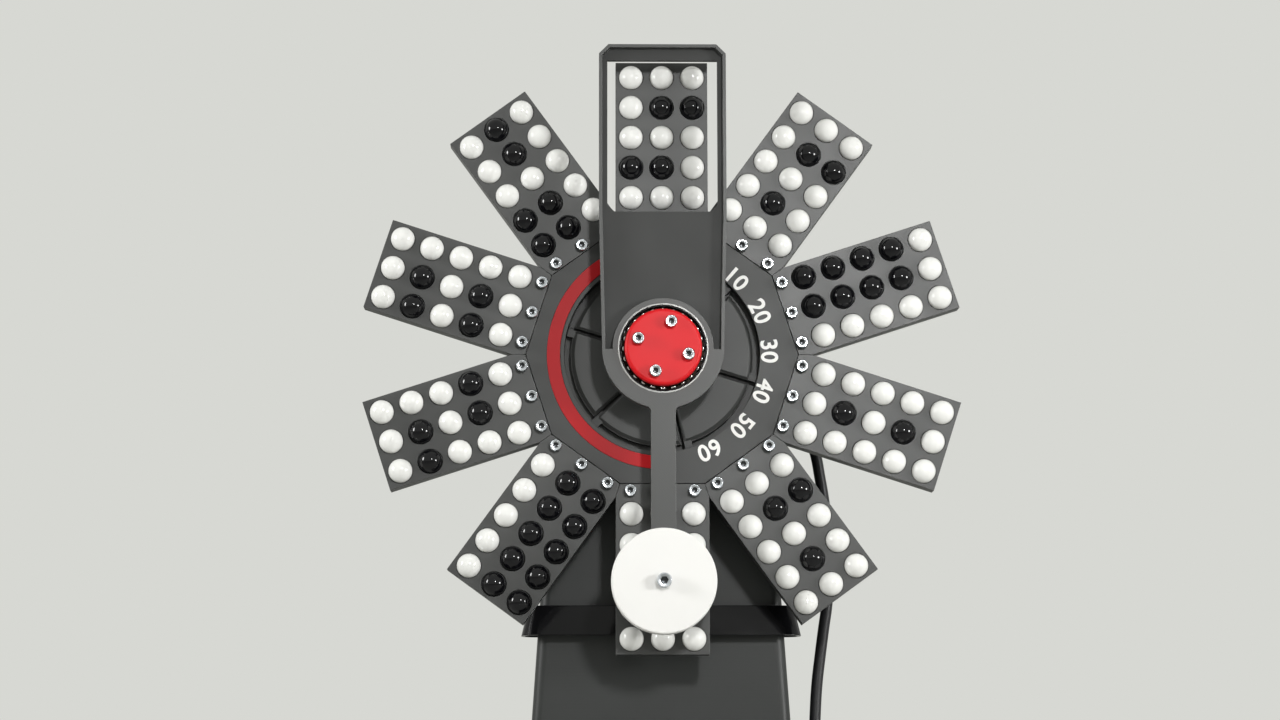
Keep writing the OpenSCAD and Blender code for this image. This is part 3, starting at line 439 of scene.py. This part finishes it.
bearing = {
    "balls": 24,
    "ball": 3.5,
    "radius": 23,
    "inFront": 21.5,
}
marbles = {
    "diameter": 14.0,
    "pitch": 18.0,
    "topRow": 165.0,  # the outer row's distance from the axle
    "digits": ["111101101101111", "001001001001001", "111001111100111", "111001111001111",
               "101101111001001", "111100111001111", "111100111101111", "111001001001001",
               "111101111101111", "111101111001111"],
    "digitOnTop": 5,
}


def panelTurn(digit):
    return -36 * ((digit + marbles["digitOnTop"]) % 10)


def marblePlaces(which):
    places = []
    for digit, pattern in enumerate(marbles["digits"]):
        for index, mark in enumerate(pattern):
            if mark == which:
                x = (index % 3 - 1) * marbles["pitch"]
                y = marbles["topRow"] - (index // 3) * marbles["pitch"]
                places.append(onFace(*turned(x, y, panelTurn(digit))))
    return places


marbleShape = ball("marble", marbles["diameter"], segments=28, rings=14)
setOut("white_marble_set", marbleShape, marblePlaces("1"), towardsViewer, whiteGlass, "wheel",
       "white_marbles")
setOut("black_marble_set", marbleShape, marblePlaces("0"), towardsViewer, blackGlass, "wheel",
       "black_marbles")
ballPlaces = onFaceRing(bearing["balls"], bearing["radius"], 0, bearing["inFront"])
ballShape = ball("bearing_ball", bearing["ball"], segments=20, rings=10)
setOut("bearing_balls", ballShape, ballPlaces, towardsViewer, ballSteel,
       "ball_cage", "frame_bearing_balls")
print("marbles and balls set out")


sides = 36  # of every turned form


def socketScrew(name, shank, length, head, height, socket):
    # a turned profile whose innermost ring is the hexagon socket
    bm = bmesh.new()
    # the socket's floor is marked for the painted shade that the metal lays there
    socketShade = bm.verts.layers.float.new("socketShade")

    def ring(radius, z, hexagon=False, knurl=0.0):
        corners = []
        for i in range(sides):
            a = 2 * math.pi * i / sides
            r = radius / math.cos((a + math.pi / 6) % (math.pi / 3) - math.pi / 6) if hexagon else radius
            r -= knurl * (i % 2)
            corners.append(bm.verts.new((r * math.cos(a) * mm, r * math.sin(a) * mm, z * mm)))
        return corners

    half, chamfer, knurl = socket / 2, 0.1 * height, 0.025 * head
    socketFloor = 0.3  # the socket's floor, as a share of the head's height
    rings = [
        ring(shank * 0.75, -length), ring(shank, -length + shank * 0.3), ring(shank, 0), ring(head - 0.1, 0),
        ring(head, 0.12, knurl=knurl), ring(head, height - chamfer * 2, knurl=knurl),
        ring(head, height - chamfer * 1.6), ring(head - chamfer, height),
        ring(half * 1.22, height), ring(half, height - 0.15, hexagon=True),
        ring(half, height * socketFloor, hexagon=True),
    ]
    for lower, upper in zip(rings, rings[1:]):
        for i in range(sides):
            j = (i + 1) % sides
            bm.faces.new((lower[i], lower[j], upper[j], upper[i]))
    for end, z in ((rings[0], -length), (rings[-1], height * socketFloor - half * 0.35)):
        tip = bm.verts.new((0, 0, z * mm))
        tip[socketShade] = 1.0
        for i in range(sides):
            bm.faces.new((end[i], end[(i + 1) % sides], tip))
    for corner in rings[-1]:
        corner[socketShade] = 1.0
    return shapeFrom(name, bm)


screwSpots = {
    "panelSpread": 18.5,
    "panelFromAxle": 79.5,
    "motorBelowAxle": 54,
    "motorSpread": 15.5,
    "motorInFront": -39,
    "baseSpread": 50,
    "baseRows": (-11, 84),
    "baseHeight": 8.2,
    "coverHeights": (157, 238, 319),
    "coverInset": 10,  # from the tower's leaning edge
    "coverFace": 97,
    "towerHalfWidth": 80.5,  # at the table
    "towerTaper": 0.067,
}


def panelScrewPlaces():
    spread, fromAxle = screwSpots["panelSpread"], screwSpots["panelFromAxle"]
    return [onFace(*turned(side * spread, fromAxle, panelTurn(digit)))
            for digit in range(10) for side in (-1, 0, 1)]


def motorScrewPlaces():
    spread, below = screwSpots["motorSpread"], screwSpots["motorBelowAxle"]
    return [onFace(x, y - below, screwSpots["motorInFront"])
            for x in (-spread, spread) for y in (-spread, spread)]


def baseScrewPlaces():
    return [Vector((side * screwSpots["baseSpread"], y, screwSpots["baseHeight"])) * mm
            for side in (-1, 1) for y in screwSpots["baseRows"]]


def coverScrewPlaces():
    places = []
    for side in (-1, 1):
        for z in screwSpots["coverHeights"]:
            edge = screwSpots["towerHalfWidth"] - screwSpots["towerTaper"] * z
            places.append(Vector((side * (edge - screwSpots["coverInset"]), screwSpots["coverFace"], z)) * mm)
    return places


screwKinds = {  # shank radius, length, head radius, height, socket; places; facing; body
    "panel_screws": ((1.95, 16, 3.5, 4, 3), panelScrewPlaces(), towardsViewer, "wheel"),
    "ring_screws": ((1.45, 8, 2.75, 2.2, 2), onFaceRing(6, 53, 13, -18), awayFromViewer, "wheel"),
    "post_screws": ((1.95, 15, 3.5, 4, 3), onFaceRing(4, 14, 45, -9.8), awayFromViewer, "wheel"),
    "cap_screws": ((1.95, 16, 3.5, 4, 3), onFaceRing(4, 15, 72.5, 30.5), towardsViewer, "wheel"),
    "gear_screws": ((1.95, 20, 3.5, 2.4, 2.5), onFaceRing(4, 32, 58, -28), awayFromViewer, "wheel"),
    "disc_bolt": ((2.5, 17.5, 4.25, 5, 4), [onFace(0, -134.3, 35)], towardsViewer, "window"),
    "cover_screws": ((1.45, 8, 2.75, 2, 2), coverScrewPlaces(), awayFromViewer, "stand"),
    "carrier_screws": ((1.95, 10, 3.5, 2.3, 2.5), onFaceRing(4, 24, 45, -33), towardsViewer, "stand"),
    "motor_screws": ((1.45, 8, 2.75, 2, 2), motorScrewPlaces(), towardsViewer, "stand"),
    "base_screws": ((1.95, 19, 3.5, 4, 3), baseScrewPlaces(), downwards, "stand"),
}
templates = [marbleShape, ballShape]
for seed, (name, (sizes, places, facing, body)) in enumerate(screwKinds.items()):
    screwShape = socketScrew(name + "_shape", *sizes)
    setOut(name + "_set", screwShape, places, facing, zincSteel, body, name, spin=60, seed=seed)
    templates.append(screwShape)
for shape in templates:
    bpy.data.objects.remove(shape)
print("screws set out")

# plain numbers let into the hub ring, where the photo has lettering

numerals = {
    "marks": ["10", "20", "30", "40", "50", "60"],
    "first": 46.0,  # angle of the first one, anticlockwise from the right
    "step": -22.0,
    "foot": 57.9,  # inner end of the figures
    "size": 13.6,
    "weight": 0.3,
    "spacing": 1.08,
    "depth": 0.5,  # half the thickness of a figure
    "proud": 0.25,
    "middle": 63,  # radius at which the figures keep their width
}


def numeralMesh():
    whole = bmesh.new()
    for index, mark in enumerate(numerals["marks"]):
        text = bpy.data.curves.new("mark", "FONT")
        text.body = mark
        text.size = numerals["size"]
        text.align_x = "CENTER"
        text.offset = numerals["weight"]
        text.extrude = numerals["depth"]
        text.space_character = numerals["spacing"]
        writing = newObject("mark", text)
        mesh = finalMesh(writing)
        middle = numerals["first"] + numerals["step"] * index
        for vertex in mesh.vertices:
            x, y, z = vertex.co
            radius = numerals["foot"] + y
            angle = middle - math.degrees(x / numerals["middle"])
            vertex.co = onFace(*onCircle(radius, angle), z - numerals["depth"] + numerals["proud"])
        whole.from_mesh(mesh)
        bpy.data.objects.remove(writing)
    bmesh.ops.remove_doubles(whole, verts=whole.verts, dist=0.01 * mm)
    mesh = bpy.data.meshes.new("ring_numerals")
    whole.to_mesh(mesh)
    whole.free()
    return mesh


ringNumerals = newObject("ring_numerals", numeralMesh())
ringNumerals.data.materials.append(whitePrint)
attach(ringNumerals, "wheel")
print("numerals made")

# mains plug, moulded on the lead's end

powerPlug = {
    "neck": [(4.9, 0.2), (5.4, 12), (9.3, 18), (12.3, 23.6), (12.9, 24.6)],  # radius, distance along the plug
    "ribs": 6,
    "ribPitch": 2.6,
    "ribDepth": 0.9,
    "ribSteps": (1.4, 1.7, 2.3),  # where a groove begins, reaches its floor and leaves it
    "front": [(12.9, 40.6), (12.2, 42), (10.9, 43.9), (9.4, 43.9), (9.0, 43.2), (7.6, 43.2)],
    "halfHeight": 10.6,  # the grip is flattened above and below
    "pin": [(2.1, 42.5), (2.1, 60.6), (1.9, 61.4), (1.2, 61.9)],
    "pinSpread": 5.5,
}


def turnedPiece(name, outlines, material):  # closed turned forms along the plug's axis
    bm = bmesh.new()
    end, most = leadRoute[-1], powerPlug["halfHeight"]
    for sideways, outline in outlines:
        rings = []
        for radius, along in outline:
            corners = [onCircle(radius, i * 360 / sides) for i in range(sides)]
            rings.append([bm.verts.new(end + Vector((sideways + x, -along, max(-most, min(most, z)))) * mm)
                          for x, z in corners])
        for lower, upper in zip(rings, rings[1:]):
            for i in range(sides):
                bm.faces.new((lower[i], lower[i - 1], upper[i - 1], upper[i]))
        bm.faces.new(rings[0])
        bm.faces.new(rings[-1])
    piece = shapeFrom(name, bm)
    piece.data.materials.append(material)
    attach(piece, "stand")
    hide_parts("power_plug")
    return piece


def plugOutline():
    outline = list(powerPlug["neck"])
    for i in range(powerPlug["ribs"]):
        radius, start = outline[-1][0], powerPlug["neck"][-1][1] + i * powerPlug["ribPitch"]
        floor = radius - powerPlug["ribDepth"]
        lip, down, up = [start + step for step in powerPlug["ribSteps"]]
        outline += [(radius, lip), (floor, down), (floor, up), (radius, start + powerPlug["ribPitch"])]
    return outline + powerPlug["front"]


pinMetal = metal("nickel_plated_brass", "#d2cfc8", "#bdbab2", rough=0.2)
plugBody = turnedPiece("plug_body", [(0, plugOutline())], leadBlack)
pinOutlines = [(side * powerPlug["pinSpread"], powerPlug["pin"]) for side in (-1, 1)]
plugPins = turnedPiece("plug_pins", pinOutlines, pinMetal)
print("plug made")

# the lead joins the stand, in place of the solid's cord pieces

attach(lead, "stand")
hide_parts("power_cord", "cord_coil")

# table, wall colour and lamps

studio = {
    "wall": "#d7d8d3",
    "table": "#dcdcd8",
    "tableShade": "#d8d8d4",
    "tableSide": 12000,
    "tableRough": 0.7,
    "tableGlow": 0.37,  # for the camera alone, so that the far table is as pale as the wall
    "fillBelow": 0.1,  # the room's own light, brighter towards its ceiling
    "fillAbove": 0.85,
    "aim": (0, -60, 270),
    "lampSpread": 70,  # screened, so that no bright pool lies on the table
    "lamps": [  # place, width, height, watts
        ("right_window", (1072, -750, 337), 300, 300, 1.28),
        ("left_window", (-1020, -370, 514), 220, 480, 1.0),
        ("lamp_by_viewer", (235, -1166, 560), 110, 110, 0.72),
    ],
}

table = newObject("table", bpy.data.meshes.new("table"))
half = studio["tableSide"] / 2 * mm
tableCorners = [(-half, -half, 0), (half, -half, 0), (half, half, 0), (-half, half, 0)]
table.data.from_pydata(tableCorners, [], [(0, 1, 2, 3)])
tableTop, tree, shader, coords = newMaterial("pale_table_top")
shade = addNode(tree, "ShaderNodeTexNoise", {"Vector": coords["Object"], "Scale": 6.0,
                "Detail": 4.0}).outputs[0]
tone = blendColours(tree, shade, hexColour(studio["table"]), hexColour(studio["tableShade"]))
tree.links.new(tone, shader.inputs["Base Color"])
shader.inputs["Roughness"].default_value = studio["tableRough"]
seen = addNode(tree, "ShaderNodeLightPath").outputs["Is Camera Ray"]
glow = addNode(tree, "ShaderNodeMath", {0: seen, 1: studio["tableGlow"]}, operation="MULTIPLY").outputs[0]
shader.inputs["Emission Color"].default_value = hexColour(studio["table"])
tree.links.new(glow, shader.inputs["Emission Strength"])
table.data.materials.append(tableTop)

world = bpy.data.worlds.new("pale_room")
scene.world = world
world.use_nodes = True
tree = world.node_tree
tree.nodes.clear()
# the wall keeps its colour where it is seen, mirrored or looked at through glass
rays = addNode(tree, "ShaderNodeLightPath").outputs
seen = addNode(tree, "ShaderNodeMath", {0: rays["Is Camera Ray"], 1: rays["Is Glossy Ray"]},
               operation="MAXIMUM")
seen = addNode(tree, "ShaderNodeMath", {0: seen.outputs[0], 1: rays["Is Transmission Ray"]},
               operation="MAXIMUM")
upwards = addNode(tree, "ShaderNodeTexCoord").outputs["Generated"]
upwards = addNode(tree, "ShaderNodeSeparateXYZ", {0: upwards}).outputs[2]
fill = addNode(tree, "ShaderNodeMapRange", {"Value": upwards, "To Min": studio["fillBelow"],
               "To Max": studio["fillAbove"]}).outputs[0]
strength = addNode(tree, "ShaderNodeMix", {0: seen.outputs[0], 2: fill, 3: 1.0}).outputs[0]
wall = addNode(tree, "ShaderNodeBackground", {"Color": hexColour(studio["wall"]), "Strength": strength})
addNode(tree, "ShaderNodeOutputWorld", {"Surface": wall.outputs[0]})

for name, place, width, height, watts in studio["lamps"]:
    light = bpy.data.lights.new(name, "AREA")
    light.shape = "ELLIPSE"
    light.size = width * mm
    light.size_y = height * mm
    light.energy = watts
    light.spread = math.radians(studio["lampSpread"])
    lamp = newObject(name, light)
    lamp.location = Vector(place) * mm
    aim = Vector(studio["aim"]) * mm - lamp.location
    lamp.rotation_euler = aim.to_track_quat("-Z", "Y").to_euler()
print("studio made")

scene.view_settings.view_transform = "Standard"
